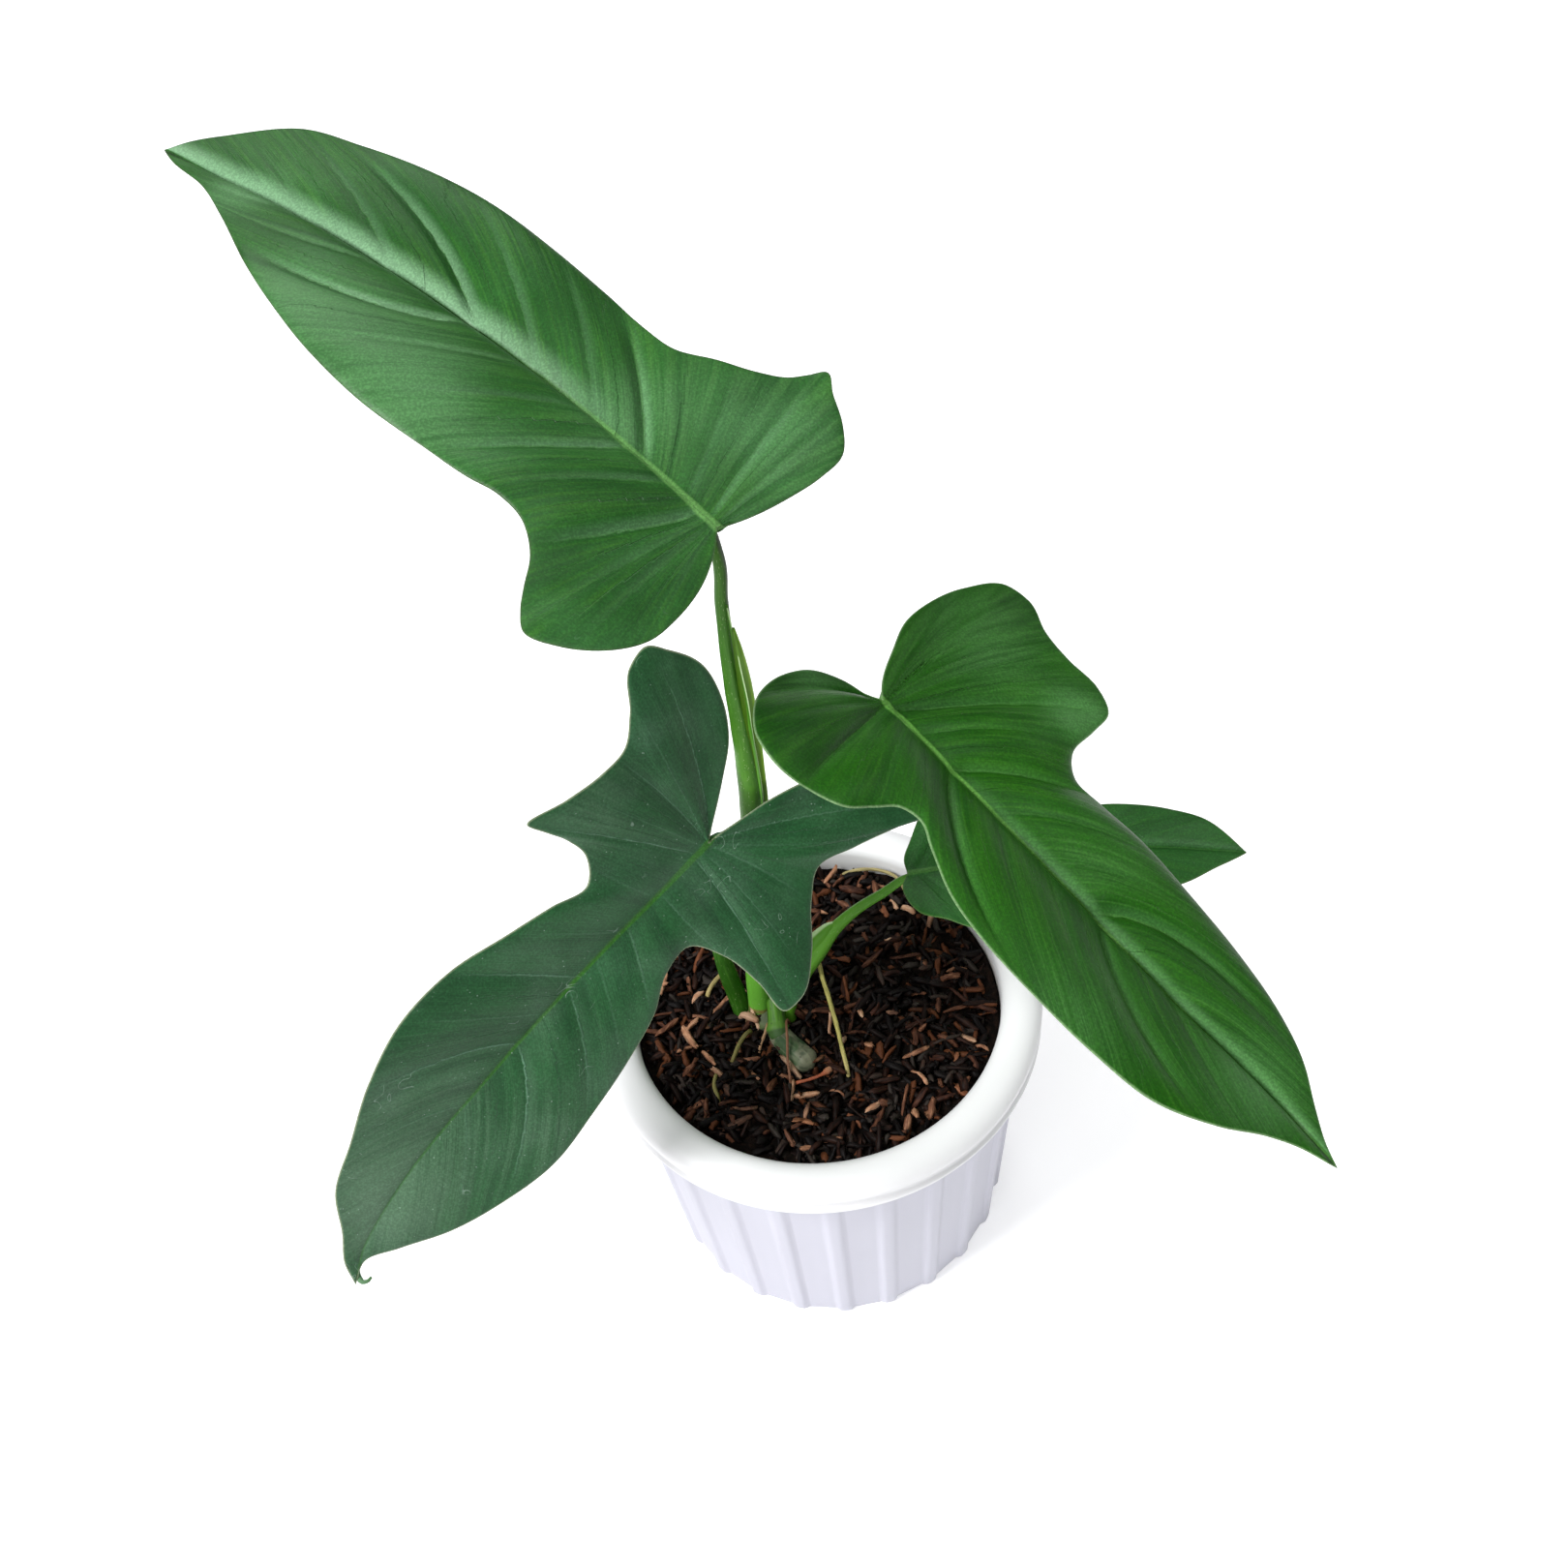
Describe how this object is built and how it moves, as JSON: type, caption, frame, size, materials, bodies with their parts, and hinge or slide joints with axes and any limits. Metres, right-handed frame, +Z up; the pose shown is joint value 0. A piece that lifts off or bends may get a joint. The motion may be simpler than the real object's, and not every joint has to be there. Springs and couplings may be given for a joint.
{
  "type": "potted horsehead philodendron",
  "caption": "Potted horsehead philodendron: glossy lobed leaves on long petioles, a rolled new leaf and air roots in bark soil, in a ribbed white pot with a rolled rim.",
  "frame": {"origin": "centre of the pot's flat base, on the surface it stands on", "axes": "+Z up along the pot's axis; -Y towards the front, from where the picture looks down at the plant; +X to the right"},
  "size_m": [0.3062, 0.3113, 0.3653],
  "materials": {
    "pot": "smooth white moulded plastic, satin gloss",
    "soil": "loose chopped bark and husk, dark and slightly damp",
    "cane": "grey green skin with leaf scars and a dry cut end",
    "petiole": "smooth green skin with pale flecks and a purple flush",
    "new_leaf": "smooth yellow green, rolled",
    "leaf": "glossy mid green with pale veins",
    "old_leaf": "satin dark green with dust and pale veins",
    "root": "rough dry yellow brown skin"
  },
  "bodies": {
    "root": {"pot": "pot", "soil": "soil", "cane": "cane", "petiole_upper_left": "petiole", "petiole_front_left": "petiole", "petiole_right": "petiole", "petiole_back_right": "petiole", "new_leaf": "new_leaf", "leaf_upper_left": "leaf", "leaf_right": "leaf", "leaf_front_left": "old_leaf", "leaf_back_right": "old_leaf", "root_yellow": "root", "root_brown": "root", "root_olive": "root", "root_back": "root"}
  },
  "joints": []
}
